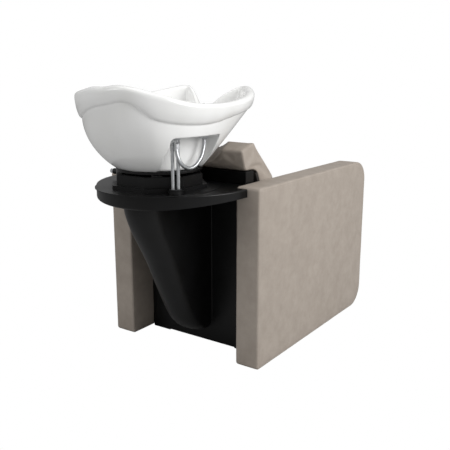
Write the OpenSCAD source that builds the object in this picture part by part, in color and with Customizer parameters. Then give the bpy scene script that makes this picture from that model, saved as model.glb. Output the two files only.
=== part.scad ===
// Salon wash unit: upholstered seat with a tilting ceramic basin behind it.
// X runs across the seat, +Y points from the seat to the basin, +Z is up.
// The origin is on the floor, under the centre of the whole unit. Sizes are in millimetres.

/* [Overall] */
// Width over both arms
unit_w = 680; // [640:1:760]
// Distance that the basin reaches behind the arms
basin_over = 370; // [360:1:400]
// Height of the floor glides
glide_h = 4; // [3:0.5:10]

/* [Arms] */
// Length of an arm panel
arm_len = 870; // [820:1:920]
// Height of an arm panel above the floor
arm_h = 650; // [646:1:656]
// Thickness of an arm panel
arm_t = 98; // [86:1:110]
// Radius of the two front corners
arm_corner_r = 85; // [50:1:110]
// Radius of the two rear corners
arm_rear_r = 12; // [9:0.5:20]
// Roundness of the padded edges
pad_edge_r = 8; // [5:0.5:8.5]
// How far the padding crowns on its flat faces
pad_crown = 2; // [1:0.5:4]
// Padding between the cover and the core board
pad_t = 18; // [14:1:24]

/* [Seat] */
// Height of the seat cushion's crown
seat_h = 450; // [440:1:470]
// Height of the seat board's underside
seat_board_z = 340; // [330:1:350]
// Thickness of the seat board
board_t = 15; // [12:1:18]
// Seat depth in front of the foot of the back
seat_depth = 508; // [480:1:512]
// Crown of the seat cushion
seat_crown = 14; // [6:1:24]

/* [Back] */
// Height of the back's top front edge
back_top_h = 790; // [780:1:800]
// Height of the back's top rear edge
back_rear_h = 764; // [755:1:772]
// Height where the slope of the back changes
back_knee_h = 662; // [655:1:675]
// Height of the underside behind the back
back_under_h = 690; // [686:1:694]
// Radius of the scoop for the basin's underside
scoop_r = 200; // [190:1:210]

/* [Shelf] */
// Radius of the half round shelf
shelf_r = 290; // [284:1:298]
// Height of the shelf's top
shelf_h = 645; // [643:1:646]
// Depth of the skirt at the back
skirt_back = 53; // [48:1:56]
// Depth of the skirt at its ends
skirt_end = 27; // [20:1:32]
// Wall of the plastic mouldings
shell_t = 4; // [3:0.5:5]

/* [Rear cover] */
// Half width of the keel at the panel
keel_w = 58; // [54:1:64]
// Radius where the keel flows into the panel
keel_blend = 18; // [10:1:22]
// Height of the panel's underside
panel_z = 6; // [5:1:12]

/* [Tilt housing] */
// Half width of the housing
house_w = 150; // [146:1:154]
// Half length of the housing
house_l = 139; // [136:1:141]
// Corner cut of the housing
house_cut = 89; // [84:1:98]
// Height of the housing above the shelf
house_h = 50; // [46:1:50]
// Height of the housing's foot
foot_h = 15; // [10:1:18]
// Width of the step round the foot
foot_step = 15; // [10:1:17]
// Greatest tilt of the basin
tilt_max = 8; // [4:1:8]

/* [Basin] */
// Half width of the rim
basin_half_w = 260; // [250:1:268]
// Half length of the rim
basin_half_l = 320; // [314:1:324]
// Squareness of the rim's outline
rim_power = 2.3; // [2.1:0.05:2.5]
// Squareness of the rim's rear half
rear_power = 2.45; // [2.2:0.05:2.7]
// Distance of the neck notch from the rim's centre
notch_r = 215; // [205:1:225]
// Wall of the ceramic
basin_wall = 13; // [11:0.5:15]
// Width of the rolled rim
rim_roll = 36; // [30:1:40]
// Radius of the basin's foot
basin_foot_r = 143; // [141:1:146]

/* [Tap and hand shower] */
// Radius of the mixer's shank
shank_r = 15; // [14:0.5:15.5]
// Radius of a supply hose
supply_r = 6; // [5:0.25:6.5]
// Radius of the shower hose
shower_r = 6.75; // [6:0.25:7]
// Lift of the mixer lever in degrees
lever_lift = 22; // [10:1:25]
// Swing of the mixer cap to each side in degrees
cap_swing = 45; // [20:1:50]

/* [Drain] */
// Outer radius of the tail pipe
tail_r = 19; // [17:0.5:19]
// Outer radius of the floor drain stub
stub_r = 20; // [18:0.5:21]
// Bore radius of the water inlets
inlet_r = 9.5; // [8:0.25:10]
// Depth of the inlet thread
inlet_depth = 15; // [12:1:18]

/* [Frame] */
// Width of the rail tubes
rail_w = 30; // [28:1:34]
// Height of the rail tubes
rail_h = 40; // [36:1:42]
// Wall of the tubes
tube_t = 2; // [1.5:0.5:3]
// Thickness of the floor plates
plate_t = 6; // [5:1:8]
// Radius of the anchor holes
anchor_r = 6; // [5:0.5:7]

/* [Hidden] */

// Running gaps
gap = 0.5;
soft_gap = 0.3;
fit_gap = 0.05;

// Places along the unit
total_len = arm_len + basin_over;
arm_back = total_len / 2 - basin_over;
arm_front = arm_back - arm_len;
inner_w = unit_w / 2 - arm_t;
seat_front = arm_front + 12;
back_foot = seat_front + seat_depth;

// Back profile, measured from the arms' rear faces
back_top_y = arm_back - 122;
back_rear_y = arm_back - 39;
back_knee_y = arm_back - 254;
back_under_y = arm_back - 67;
back_pad_t = 105;
scoop_slope = 35;
board_foot_y = back_foot + back_pad_t;
board_top_y = back_knee_y + 118;

// Rear panel and shelf
panel_y = arm_back - 113;
shelf_under = shelf_h - 5;
keel_top = shelf_h - 40;
keel_foot = 50;

// Tilting basin
rim_bulge = 1.78;
basin_y = arm_back + basin_over - basin_half_l - rim_bulge;
foot_y = arm_back + 105;
house_y = arm_back + 111;
house_z = shelf_h + house_h;
pivot_y = arm_back + 12;
pivot_z = house_z - 5;
pin_r = 6;
cradle_z = house_z + 7;
cradle_t = 6;
gasket_t = 3;
basin_z = cradle_z + cradle_t + gasket_t;
cradle_r = basin_foot_r - 3;
floor_z = basin_z + 22;
ear_angle = 25;

// Tap deck and the alcove under it
deck_z = basin_z + 129;
deck_t = 14;
alcove_z = deck_z - deck_t;
alcove_x = 139;
alcove_turn = 6.9;
mixer_x = -156;
mixer_y = arm_back + 210;
hot_x = -150;
hot_y = arm_back + 216;
cold_x = -162;
cold_y = arm_back + 203.5;
shower_x = -167;
shower_y = arm_back + 217;
guide_x = -172;
guide_y = arm_back + 80;
tails_z = alcove_z - 20;
shank_low = alcove_z - 14;
cap_z = deck_z + 45;
lever_z = cap_z + 20;
hose_low_z = shelf_under - 4;

// Drain
waste_y = arm_back + 120;
waste_r = 23;
tail_low = shelf_under - 40;
funnel_low = tail_low - 40;
stub_y = arm_back - 200;
valve_x = 90;
valve_y = arm_back - 190;
valve_z = 30;
valve_top = 95;

// Frame
frame_x = inner_w - soft_gap;
rail_front = arm_front + 30;
rail_back = panel_y - shell_t - 3;
rear_d = 20;
post_z = shelf_under - 6;
upper_z = seat_board_z - rail_h;
anchor_x = frame_x - 62;
anchor_front = rail_front + 35;
anchor_back = rail_back - 35;
bolt_ys = [arm_front + 140, arm_back - 350];
lock_y = arm_back + 154;
lock_z = pivot_z - 4;
lock_x = 100;
hose_notch_r = 26;
hose_pad_z = shelf_h + foot_h - 1.2;
lock_r = 4;
boss_x = house_w + 16;

// Roundness of the exact curves
$fn = 64;

// Helpers

function unit(v) = v / norm(v);
function spin(v, a) = [v[0] * cos(a) - v[1] * sin(a), v[0] * sin(a) + v[1] * cos(a)];
function lerp(a, b, t) = a + (b - a) * t;
function middle(ring) = [for (p = ring) 1] * ring / len(ring);

// Smooth curve through a table of [place, value] pairs, level at both ends
function span(x, t, i = 0) = (i >= len(t) - 2 || x < t[i + 1][0]) ? i : span(x, t, i + 1);
function rise(t, i) = (i <= 0 || i >= len(t) - 1) ? 0
    : (t[i + 1][1] - t[i - 1][1]) / (t[i + 1][0] - t[i - 1][0]);
function curve(x, t) =
    let (i = span(x, t), h = t[i + 1][0] - t[i][0], u = (x - t[i][0]) / h)
    t[i][1] * (1 + 2 * u) * (1 - u) * (1 - u) + t[i + 1][1] * u * u * (3 - 2 * u)
    + h * (rise(t, i) * u * (1 - u) * (1 - u) - rise(t, i + 1) * u * u * (1 - u));

// Outline with a round at each corner, given as [[point, radius], ...] anticlockwise
function round_corner(a, p, b, r, n) =
    let (u = unit(a - p), v = unit(b - p), half = acos(u * v) / 2)
    let (c = p + unit(u + v) * r / sin(half), s = p + u * r / tan(half) - c)
    let (e = p + v * r / tan(half) - c, turn = s[0] * e[1] - s[1] * e[0] > 0 ? 1 : -1)
    [for (k = [0:n]) c + spin(s, turn * (180 - 2 * half) * k / n)];
function rounded(corners, n) =
    let (m = len(corners))
    [for (i = [0:m - 1]) each round_corner(corners[(i + m - 1) % m][0], corners[i][0],
        corners[(i + 1) % m][0], corners[i][1], n)];

// The same corners moved inwards by d, with rounds to suit
function inward(corners, d) =
    let (m = len(corners))
    [for (i = [0:m - 1])
        let (p = corners[i][0], r = corners[i][1])
        let (a = unit(p - corners[(i + m - 1) % m][0]), b = unit(corners[(i + 1) % m][0] - p))
        let (na = [-a[1], a[0]], nb = [-b[1], b[0]], hollow = cross(a, b) < 0)
        [p + d * (na + nb) / (1 + na * nb), hollow ? r + d : max(r - d, 2)]];

// Closed skin through a stack of rings, each anticlockwise seen from the end of the stack
module loft(rings) {
    n = len(rings[0]);
    m = len(rings);
    points = concat([for (r = rings) each r], [middle(rings[0])], [middle(rings[m - 1])]);
    sides = [for (j = [0:m - 2], i = [0:n - 1])
        let (a = j * n + i, b = j * n + (i + 1) % n)
        each [[a, a + n, b + n], [a, b + n, b]]];
    ends = [for (i = [0:n - 1])
        each [[m * n, i, (i + 1) % n], [m * n + 1, (m - 1) * n + (i + 1) % n, (m - 1) * n + i]]];
    polyhedron(points = points, faces = concat(sides, ends), convexity = 8);
}

// Round tube along a path of points; up is any direction that the path never takes
module tube(path, r, up, sides = 10) {
    last = len(path) - 1;
    loft([for (i = [0:last])
        let (t = unit(path[min(i + 1, last)] - path[max(i - 1, 0)]))
        let (u = unit(cross(up, t)), v = cross(t, u))
        [for (k = [0:sides - 1]) path[i] + r * (cos(360 * k / sides) * u + sin(360 * k / sides) * v)]]);
}

// Smooth route through hand chosen points, n steps from one to the next
function route(p, n) =
    let (last = len(p) - 1)
    concat([for (i = [0:last - 1], k = [0:n - 1])
        let (a = p[max(i - 1, 0)], b = p[i], c = p[i + 1], d = p[min(i + 2, last)], u = k / n)
        b + u * ((c - a) / 2 + u * ((a - 2.5 * b + 2 * c - d / 2) + u * (1.5 * (b - c) + (d - a) / 2)))],
        [p[last]]);

// Padded slab: corners in Y and Z, thickness t along X, soft edges and crowned faces
module padded_slab(corners, n, t, edge, crown, reach) {
    steps = [[edge + reach, 0], [edge + reach / 3, 0.35], [edge + reach / 12, 0.8]];
    quarter = [for (k = [0:4]) 90 * k / 4];
    half = concat([for (s = steps) [s[0], t / 2 - crown * s[1]]],
        [for (a = quarter) [edge * (1 - sin(a)), t / 2 - crown - edge * (1 - cos(a))]]);
    low = [for (h = half) [h[0], -h[1]]];
    high = [for (k = [len(half) - 1:-1:0]) half[k]];
    loft([for (h = concat(low, high)) [for (p = rounded(inward(corners, h[0]), n)) [h[1], p[0], p[1]]]]);
}

// Round bar along X, Y or Z
module bar_x(x0, x1, y, z, r) {
    translate([x0, y, z])
        rotate([0, 90, 0])
            cylinder(h = x1 - x0, r = r);
}
module bar_y(x, y0, y1, z, r) {
    translate([x, y0, z])
        rotate([-90, 0, 0])
            cylinder(h = y1 - y0, r = r);
}
module bar_z(x, y, z0, z1, r) {
    translate([x, y, z0])
        cylinder(h = z1 - z0, r = r);
}
// Ring along Z
module ring_z(x, y, z0, z1, r_out, r_in) {
    difference() {
        bar_z(x, y, z0, z1, r_out);
        bar_z(x, y, z0 - 1, z1 + 1, r_in);
    }
}
// Box from one corner to the opposite one
module box(a, b) {
    translate(a)
        cube(b - a);
}
// The same thing on both sides of the unit
module both_sides() {
    children();
    mirror([1, 0, 0])
        children();
}
// Square tube that runs along one axis (0 = X, 1 = Y, 2 = Z)
module square_tube(a, b, axis) {
    low = [for (i = [0:2]) a[i] + (i == axis ? -1 : tube_t)];
    high = [for (i = [0:2]) b[i] + (i == axis ? 1 : -tube_t)];
    difference() {
        box(a, b);
        box(low, high);
    }
}

// Arms

arm_corners = [
    [[arm_front, glide_h], arm_corner_r],
    [[arm_back, glide_h], arm_rear_r],
    [[arm_back, arm_h], arm_rear_r],
    [[arm_front, arm_h], arm_corner_r]];
function arm_outline(in) = rounded(inward(arm_corners, in), 7);

module arm_bolt_holes(r, x0, x1) {
    for (y = bolt_ys, z = [plate_t + rail_h / 2, upper_z + rail_h / 2])
        bar_x(x0, x1, y, z, r);
}
module arm_right() {
    color("#b4aa9f")
        difference() {
            translate([unit_w / 2 - arm_t / 2, 0, 0])
                padded_slab(arm_corners, 7, arm_t, pad_edge_r, pad_crown, 70);
            translate([inner_w + pad_t, 0, 0])
                rotate([90, 0, 90])
                    linear_extrude(arm_t - 2 * pad_t)
                        polygon(arm_outline(pad_t));
            arm_bolt_holes(5, inner_w - 5, inner_w + pad_t + 5);
        }
}
module arm_left() {
    mirror([1, 0, 0])
        arm_right();
}
module arm_cores() {
    color("#c9a66b")
        both_sides()
            difference() {
                translate([inner_w + pad_t + soft_gap, 0, 0])
                    rotate([90, 0, 90])
                        linear_extrude(arm_t - 2 * pad_t - 2 * soft_gap)
                            polygon(arm_outline(pad_t + soft_gap));
                arm_bolt_holes(4 + fit_gap, inner_w, inner_w + pad_t + 43);
            }
}
module arm_glides() {
    color("#1c1c1c")
        both_sides()
            for (y = [arm_front + 110, arm_back - 350, arm_back - 45])
                bar_z(unit_w / 2 - arm_t / 2, y, 0, glide_h, 14);
}
module arm_bolts() {
    color("#9a9a98")
        both_sides() {
            arm_bolt_holes(4, frame_x - rail_w - 1, inner_w + pad_t + 40);
            arm_bolt_holes(6.5, frame_x - rail_w - 6, frame_x - rail_w - soft_gap);
        }
}

// Seat and back

function seat_outline(in) = rounded([
    [[-inner_w + soft_gap + in, seat_front + in], 30 - in / 2],
    [[inner_w - soft_gap - in, seat_front + in], 30 - in / 2],
    [[inner_w - soft_gap - in, back_foot - 2 - in], 22 - in / 2],
    [[-inner_w + soft_gap + in, back_foot - 2 - in], 22 - in / 2]], 5);

module seat_cushion() {
    low = seat_board_z + board_t + soft_gap;
    side = seat_h - seat_crown - low;
    rings = [[8, 0], [2, 4], [0, side * 0.35], [1, side * 0.7], [5, side - 8], [12, side - 2],
        [26, side + seat_crown * 0.45], [34, side + seat_crown * 0.6]];
    color("#a89e94")
        loft([for (r = rings) [for (p = seat_outline(r[0])) [p[0], p[1], low + r[1]]]]);
}
module seat_board() {
    color("#c9a66b")
        box([-frame_x, seat_front + 8, seat_board_z], [frame_x, back_foot + 6, seat_board_z + board_t]);
}

// Side profile of the back cushion, anticlockwise from its foot
back_low = seat_board_z + board_t + 92;
back_corners = [
    [[back_foot, back_low], 10],
    [[board_foot_y, back_low], 6],
    [[board_top_y, back_under_h], 5],
    [[back_under_y, back_under_h], 6],
    [[back_rear_y, back_rear_h], 9],
    [[back_top_y, back_top_h], 10],
    [[back_knee_y, back_knee_h], 40]];

module backrest_cushion() {
    color("#a89e94")
        difference() {
            padded_slab(back_corners, 3, 2 * (inner_w - soft_gap), pad_edge_r * 0.5, pad_crown, 22);
            translate([0, back_rear_y, back_under_h - 14])
                rotate([90 - scoop_slope, 0, 0])
                    translate([0, scoop_r, -50])
                        cylinder(h = 250, r = scoop_r);
        }
}
module backrest_board() {
    slope = atan((back_under_h - back_low) / (board_top_y - board_foot_y));
    long = norm([back_under_h - back_low, board_top_y - board_foot_y]);
    color("#c9a66b")
        translate([-frame_x, board_foot_y + gap + board_t, back_low])
            rotate([slope, 0, 0])
                translate([0, 8, 0])
                    cube([2 * frame_x, long - 22, board_t - 2]);
}
module front_panel() {
    color("#2b2b2c")
        box([-frame_x, rail_front - board_t, 8], [frame_x, rail_front, seat_board_z - gap]);
}

// Steel frame

module lower_rails() {
    color("#2e2f31")
        both_sides()
            difference() {
                square_tube([frame_x - rail_w, rail_front, plate_t],
                    [frame_x, rail_back, plate_t + rail_h], 1);
                arm_bolt_holes(4.5, frame_x - rail_w - 5, frame_x + 5);
            }
}
module upper_rails() {
    color("#2e2f31")
        both_sides()
            difference() {
                square_tube([frame_x - rail_w, rail_front, upper_z],
                    [frame_x, rail_back - rear_d, seat_board_z], 1);
                arm_bolt_holes(4.5, frame_x - rail_w - 5, frame_x + 5);
            }
}
module posts() {
    color("#2e2f31")
        both_sides() {
            square_tube([frame_x - rail_w, rail_front, plate_t + rail_h],
                [frame_x, rail_front + rail_w, upper_z], 2);
            square_tube([frame_x - rail_w, rail_back - rear_d, plate_t + rail_h],
                [frame_x, rail_back, post_z], 2);
        }
}
module crossbars() {
    half = frame_x - rail_w;
    color("#2e2f31") {
        square_tube([-half, rail_front, plate_t + 5], [half, rail_front + rail_w, plate_t + 5 + rail_w], 0);
        for (z = [plate_t + 5, upper_z, upper_z + 90, post_z - rail_w])
            square_tube([-half, rail_back - rear_d, z], [half, rail_back, z + rail_w], 0);
    }
}
module floor_plates() {
    color("#3a3b3d")
        both_sides()
            for (y = [anchor_front, anchor_back])
                difference() {
                    box([anchor_x - 22, y - 35, 0], [frame_x, y + 35, plate_t]);
                    bar_z(anchor_x, y, -1, plate_t + 1, anchor_r);
                }
}
module shelf_plate() {
    color("#3a3b3d")
        difference() {
            box([-135, rail_back - rear_d, post_z], [135, arm_back + 210, shelf_under]);
            bar_z(0, waste_y, post_z - 1, shelf_under + 1, tail_r + 30);
            bracket_bolt_holes(4.5, post_z - 1, shelf_under + 1);
        }
}
module gussets() {
    color("#3a3b3d")
        for (x = [-44, 39])
            translate([x, 0, 0])
                rotate([90, 0, 90])
                    linear_extrude(5)
                        polygon([[rail_back, upper_z + 92], [rail_back, post_z],
                            [arm_back + 60, post_z], [arm_back + 60, post_z - 18]]);
}

// Rear cover: flat panel with a keel that gets deeper towards the shelf

keel_depths = [[keel_foot, 4], [58, 40], [72, 74], [94, 110], [130, 146], [200, 186], [360, 263],
    [keel_top, 372]];
keel_heights = [keel_foot, 53, 58, 65, 80, 100, 130, 165, 200, 280, 360, 480, keel_top];

// Section of the keel at height z, drawn in by the wall thickness
function keel_section(z, in) =
    let (full = z < 100 ? sqrt(max(1 - pow((100 - z) / 50.5, 2), 0.02)) : 1)
    let (w = keel_w * full - in, deep = curve(z, keel_depths) - in)
    let (flare = 1 + 0.16 * max(z - 100, 0) / 500, nose = min(w * flare, deep * 0.8))
    let (f = min(keel_blend, deep / 4, w))
    concat([[-w - f, -8 - in], [w + f, -8 - in]],
        [for (a = [0:30:90]) [w + f * (1 - sin(a)), f * (1 - cos(a))]],
        [for (a = [0:15:180]) [nose * cos(a), deep - nose + nose * sin(a)]],
        [for (a = [90:-30:0]) [-w - f * (1 - sin(a)), f * (1 - cos(a))]]);
module keel(in, over) {
    loft([for (z = keel_heights)
        let (top = z == keel_top, h = z + in * (z < 100 ? 1 : 0) + (top ? over : 0))
        [for (p = keel_section(z, in)) [p[0], panel_y + p[1], h]]]);
}
module rear_cover() {
    wide = inner_w - soft_gap;
    color("#161718")
        difference() {
            union() {
                box([-wide, panel_y - shell_t, panel_z], [wide, panel_y, post_z - gap]);
                intersection() {
                    keel(0, 2);
                    box([-200, panel_y - shell_t, 0], [200, panel_y + 500, keel_top]);
                }
            }
            keel(shell_t, 3);
            box([-keel_w, panel_y - shell_t - 1, keel_top - 1], [keel_w, panel_y + 1, shelf_h]);
        }
}

// Shelf with its skirt

skirt_reach = shelf_r;
skirt_drop = skirt_back - skirt_end;
skirt_arc = (skirt_reach * skirt_reach + skirt_drop * skirt_drop) / (2 * skirt_drop);

// Hose hole in the shelf and in the foot of the housing
module hose_slot(r, z0, z1) {
    bar_z(mixer_x, mixer_y, z0, z1, r);
}
module shelf() {
    wide = inner_w - soft_gap;
    front = back_under_y + 3;
    color("#17181a")
        difference() {
            union() {
                intersection() {
                    translate([0, arm_back, shelf_h - skirt_back])
                        rotate_extrude($fn = 128)
                            polygon(concat([[0, 0], [shelf_r - 8, 0]],
                                [for (a = [-90:15:0]) [shelf_r - 8 + 8 * cos(a), 8 + 8 * sin(a)]],
                                [for (a = [0:15:90]) [shelf_r - 5 + 5 * cos(a), skirt_back - 5 + 5 * sin(a)]],
                                [[0, skirt_back]]));
                    box([-400, arm_back + soft_gap, 0], [400, arm_back + 400, shelf_h]);
                }
                box([-wide, front, shelf_under], [wide, arm_back + 1, shelf_h]);
                intersection() {
                    bar_z(0, house_y, shelf_h - 1, shelf_h + 2, 215);
                    box([-wide, front + 10, 0], [wide, arm_back + 400, shelf_h + 5]);
                }
            }
            intersection() {
                bar_z(0, arm_back, 0, shelf_under, shelf_r - shell_t - 1);
                box([-400, arm_back + shell_t + 1, 0], [400, arm_back + 400, shelf_h]);
            }
            box([-wide + 1, arm_back - 1, 0], [wide - 1, arm_back + shell_t + 2, shelf_under]);
            translate([-400, arm_back, shelf_h - skirt_end - skirt_arc])
                rotate([0, 90, 0])
                    cylinder(h = 800, r = skirt_arc, $fn = 720);
            bar_z(0, house_y - 5, 0, shelf_h + 5, 98);
            box([-70, pivot_y - 20, 0], [70, house_y, shelf_h + 5]);
            hose_slot(18.4, 0, shelf_h + 5);
            bracket_bolt_holes(4.5, 0, shelf_h + 5);
        }
}
module riser() {
    wide = inner_w - soft_gap;
    high = back_under_h - soft_gap;
    color("#17181a")
        difference() {
            box([-wide, board_top_y + 22, shelf_under + gap], [wide, back_under_y + 3 - gap, high]);
            box([-wide + 3, board_top_y + 20, 0], [wide - 3, back_under_y - 1, high - 3]);
        }
}

// Tilt housing

function octagon(w, l, cut) = [[-w, -l + cut], [-w + cut, -l], [w - cut, -l], [w, -l + cut],
    [w, l - cut], [w - cut, l], [-w + cut, l], [-w, l - cut]];
module house_block(in, z0, z1) {
    translate([0, house_y, z0])
        linear_extrude(z1 - z0)
            polygon(octagon(house_w - in, house_l - in, house_cut - in * 0.6));
}
module tilt_housing() {
    low = shelf_h + 2;
    color("#1b1c1e")
        difference() {
            union() {
                house_block(-foot_step, low, shelf_h + foot_h);
                house_block(0, low, house_z - 3);
                house_block(1.5, low, house_z - 1.2);
                house_block(3.2, low, house_z);
                bar_z(mixer_x, mixer_y, low, hose_pad_z, 25);
                translate([mixer_x, mixer_y, low])
                    rotate([0, 0, 45])
                        translate([-20, -60, 0])
                            cube([40, 60, hose_pad_z - 1 - low]);
                bar_x(house_w - 12, boss_x, lock_y, lock_z, 10);
            }
            house_block(shell_t, low - 1, house_z - shell_t);
            house_block(18, low - 1, house_z + 1);
            bar_z(mixer_x, mixer_y, shelf_h + foot_h, house_z + 1, hose_notch_r);
            translate([mixer_x, mixer_y, shelf_h + foot_h])
                rotate([0, 0, 45])
                    translate([-hose_notch_r, 0, 0])
                        cube([2 * hose_notch_r, 60, house_h]);
            hose_slot(18.4, low - 1, house_z);
            bar_x(0, boss_x + 5, lock_y, lock_z, lock_r + gap);
        }
    hose_wall();
}
// Wall that closes the housing behind the hose notch
module hose_wall() {
    color("#1b1c1e")
        intersection() {
            ring_z(mixer_x, mixer_y, shelf_h + 2, house_z - 3.6, hose_notch_r + 4, hose_notch_r - 1.4);
            house_block(shell_t - 1, shelf_h + 2, house_z);
        }
}
module bracket_bolt_holes(r, z0, z1) {
    both_sides()
        for (y = [pivot_y + 28, pivot_y + 75])
            bar_z(84, y, z0, z1, r);
    bar_z(124, lock_y - 22, z0, z1, r);
    bar_z(124, lock_y + 2, z0, z1, r);
}
module hinge_bracket() {
    low = shelf_h + 2;
    color("#6f7174")
        difference() {
            union() {
                both_sides() {
                    box([56, pivot_y - 14, low], [62, pivot_y + 90, low + 5]);
                    box([56, pivot_y + 15, low], [96, pivot_y + 90, low + 5]);
                    box([56, pivot_y - 14, low], [62, pivot_y + 14, pivot_z]);
                    bar_x(56, 62, pivot_y, pivot_z, 7 + fit_gap);
                    translate([56, 0, 0])
                        rotate([90, 0, 90])
                            linear_extrude(6)
                                polygon([[pivot_y + 13, low], [pivot_y + 60, low], [pivot_y + 13, pivot_z - 8]]);
                }
            }
            bar_x(-70, 70, pivot_y, pivot_z, pin_r + 0.02);
            bracket_bolt_holes(4.5, 0, house_z);
        }
}
module hinge_pin() {
    color("#b9bbbd") {
        bar_x(-64, 64, pivot_y, pivot_z, pin_r);
        both_sides()
            bar_x(62.3, 66, pivot_y, pivot_z, 9);
    }
}
module bracket_bolts() {
    low = shelf_h + 7;
    color("#9a9a98") {
        bracket_bolt_holes(4, post_z - 12, low + 1);
        bracket_bolt_holes(6.5, low, low + 5);
        bracket_bolt_holes(6.8, post_z - 7, post_z);
    }
}
module lock_bracket() {
    low = shelf_h + 2;
    x = lock_x + 4;
    color("#6f7174")
        difference() {
            union() {
                box([x, lock_y - 32, low], [x + 32, lock_y + 12, low + 5]);
                box([x, lock_y - 14, low], [x + 5, lock_y + 12, lock_z + 9]);
            }
            bar_x(x - 1, x + 6, lock_y, lock_z, lock_r + fit_gap);
            bracket_bolt_holes(4.5, 0, house_z);
        }
}
module hose_grommet() {
    color("#0f0f10")
        difference() {
            union() {
                bar_z(mixer_x, mixer_y, shelf_under, hose_pad_z + 3, 18);
                bar_z(mixer_x, mixer_y, hose_pad_z, hose_pad_z + 3, 20.5);
            }
            bar_z(hot_x, hot_y, 0, house_z, supply_r + soft_gap);
            bar_z(cold_x, cold_y, 0, house_z, supply_r + soft_gap);
        }
}

// Drain below the shelf

module waste_funnel() {
    wall = 3;
    color("#d8d8d4")
        translate([0, waste_y, 0])
            rotate_extrude()
                polygon([[tail_r + 26, shelf_under + wall], [tail_r + 26, shelf_under],
                    [tail_r - 2, tail_low - 10], [tail_r - 2, funnel_low], [tail_r + 1, funnel_low],
                    [tail_r + 1, tail_low - 11], [tail_r + 29, shelf_under],
                    [tail_r + 36, shelf_under], [tail_r + 36, shelf_under + wall]]);
}
drain_path = route([[0, 370, 560], [0, 370, 548], [0, 370, 530], [0, 357, 465], [0, 328, 400], [0, 288, 325],
    [0, 238, 255], [0, 172, 202], [0, 112, 168], [0, 64, 135], [0, 50, 104], [0, 50, 87], [0, 50, 70]], 2);
module drain_hose() {
    color("#8d8f90")
        tube(drain_path, tail_r + 1, [1, 0, 0], 12);
}
module drain_stub() {
    color("#d8d8d4") {
        difference() {
            union() {
                bar_z(0, stub_y, 8, 41, stub_r);
                bar_z(0, stub_y, 40, 70, stub_r - 0.6);
                bar_z(0, stub_y, plate_t + 5 + rail_w + 4, plate_t + 5 + rail_w + 10, stub_r + 5);
            }
            bar_z(0, stub_y, 0, 71, stub_r - 3);
        }
    }
}
module valve_bracket() {
    z = plate_t + 5 + rail_w;
    color("#3a3b3d")
        difference() {
            box([-130, stub_y - 30, z], [130, rail_back, z + 4]);
            bar_z(0, stub_y, 0, 100, stub_r + soft_gap);
            for (x = [-valve_x, valve_x])
                bar_z(x, valve_y, 0, 100, 13 + soft_gap);
        }
}
module valve_bodies() {
    color("#b8903f")
        for (x = [-valve_x, valve_x])
            difference() {
                union() {
                    bar_z(x, valve_y, valve_z, 82, 13);
                    bar_z(x, valve_y, plate_t + rail_w + 9, plate_t + rail_w + 15, 17);
                    bar_z(x, valve_y, 82, valve_top, supply_r + 1);
                    bar_y(x, valve_y - 24, valve_y, 68, 7);
                }
                bar_z(x, valve_y, valve_z - 1, valve_z + inlet_depth, inlet_r);
                bar_z(x, valve_y, valve_z, valve_top + 1, 4);
            }
}
// Quarter turn handle in front of a stop valve
module valve_handle(x, shade) {
    y = valve_y - 24 - gap;
    color(shade) {
        bar_y(x, y - 9, y, 68, 9);
        hull() {
            bar_y(x, y - 8, y - 3, 68, 5);
            bar_y(x, y - 8, y - 3, 68 + 34, 4);
        }
    }
}
module valve_handle_hot() {
    valve_handle(valve_x, "#b03a34");
}
module valve_handle_cold() {
    valve_handle(-valve_x, "#3559a8");
}

// Pipes from the stop valves, up inside the keel and out under the shelf
hot_path = route([[90, 60, 95], [90, 60, 103], [90, 60, 111], [78, 64, 140], [48, 82, 180], [10, 140, 235],
    [-14, 215, 330], [-24, 262, 430], [-36, 300, 530], [-40, 334, 590], [-46, 348, 608], [-62, 380, 618],
    [-100, 430, 618], [-138, 460, 619], [-150, 466, 628], [-150, 466, 632], [-150, 466, 636]], 2);
cold_path = route([[-90, 60, 95], [-90, 60, 103], [-90, 60, 111], [-80, 64, 140], [-66, 82, 180],
    [-44, 140, 235], [-38, 200, 330], [-42, 245, 430], [-46, 285, 530], [-50, 316, 590], [-54, 330, 608],
    [-74, 370, 618], [-112, 420, 618], [-150, 447, 619], [-162, 453.5, 628], [-162, 453.5, 632],
    [-162, 453.5, 636]], 2);
module supply_pipes() {
    color("#b06a3c") {
        tube(hot_path, supply_r - 1, [0, 0.2, -1], 8);
        tube(cold_path, supply_r - 1, [0, 0.2, -1], 8);
    }
}
module supply_hose(x, y) {
    color("#a9acae")
        tube([for (z = [0:8]) [x, y, lerp(hose_low_z, tails_z, z / 8)]], supply_r, [0, 1, 0], 12);
}
module supply_hose_hot() {
    supply_hose(hot_x, hot_y);
}
module supply_hose_cold() {
    supply_hose(cold_x, cold_y);
}

// Basin, drawn in rings round the rim's centre; angles run from the seat side

crest_table = [[0, 903], [9, 914], [17, 948], [25, 974], [45, 959], [62, 944], [85, 932], [107, 929],
    [127, 936], [148, 964], [160, 980], [170, 986], [180, 981]];
crease_table = [[0, 868], [25, 912], [45, 903], [62, 893], [83, 880], [98, 869], [112, 864], [126, 865],
    [135, 869], [142, 875], [149, 886], [155, 909], [161, 930], [168, 937], [180, 926]];
inset_table = [[0, 10], [25, 8], [45, 14], [100, 24], [130, 23], [150, 15], [165, 6], [180, 2]];
basin_lift = basin_z - 711;

function rim_full(a) =
    let (p = a < 90 ? rim_power : rear_power)
    pow(pow(abs(sin(a)) / basin_half_w, p) + pow(abs(cos(a)) / basin_half_l, p), -1 / p);
function rim_plan(a) = a < ear_angle
    ? lerp(notch_r, rim_full(ear_angle), pow(a / ear_angle, 1.8))
    : rim_full(a);
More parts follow.
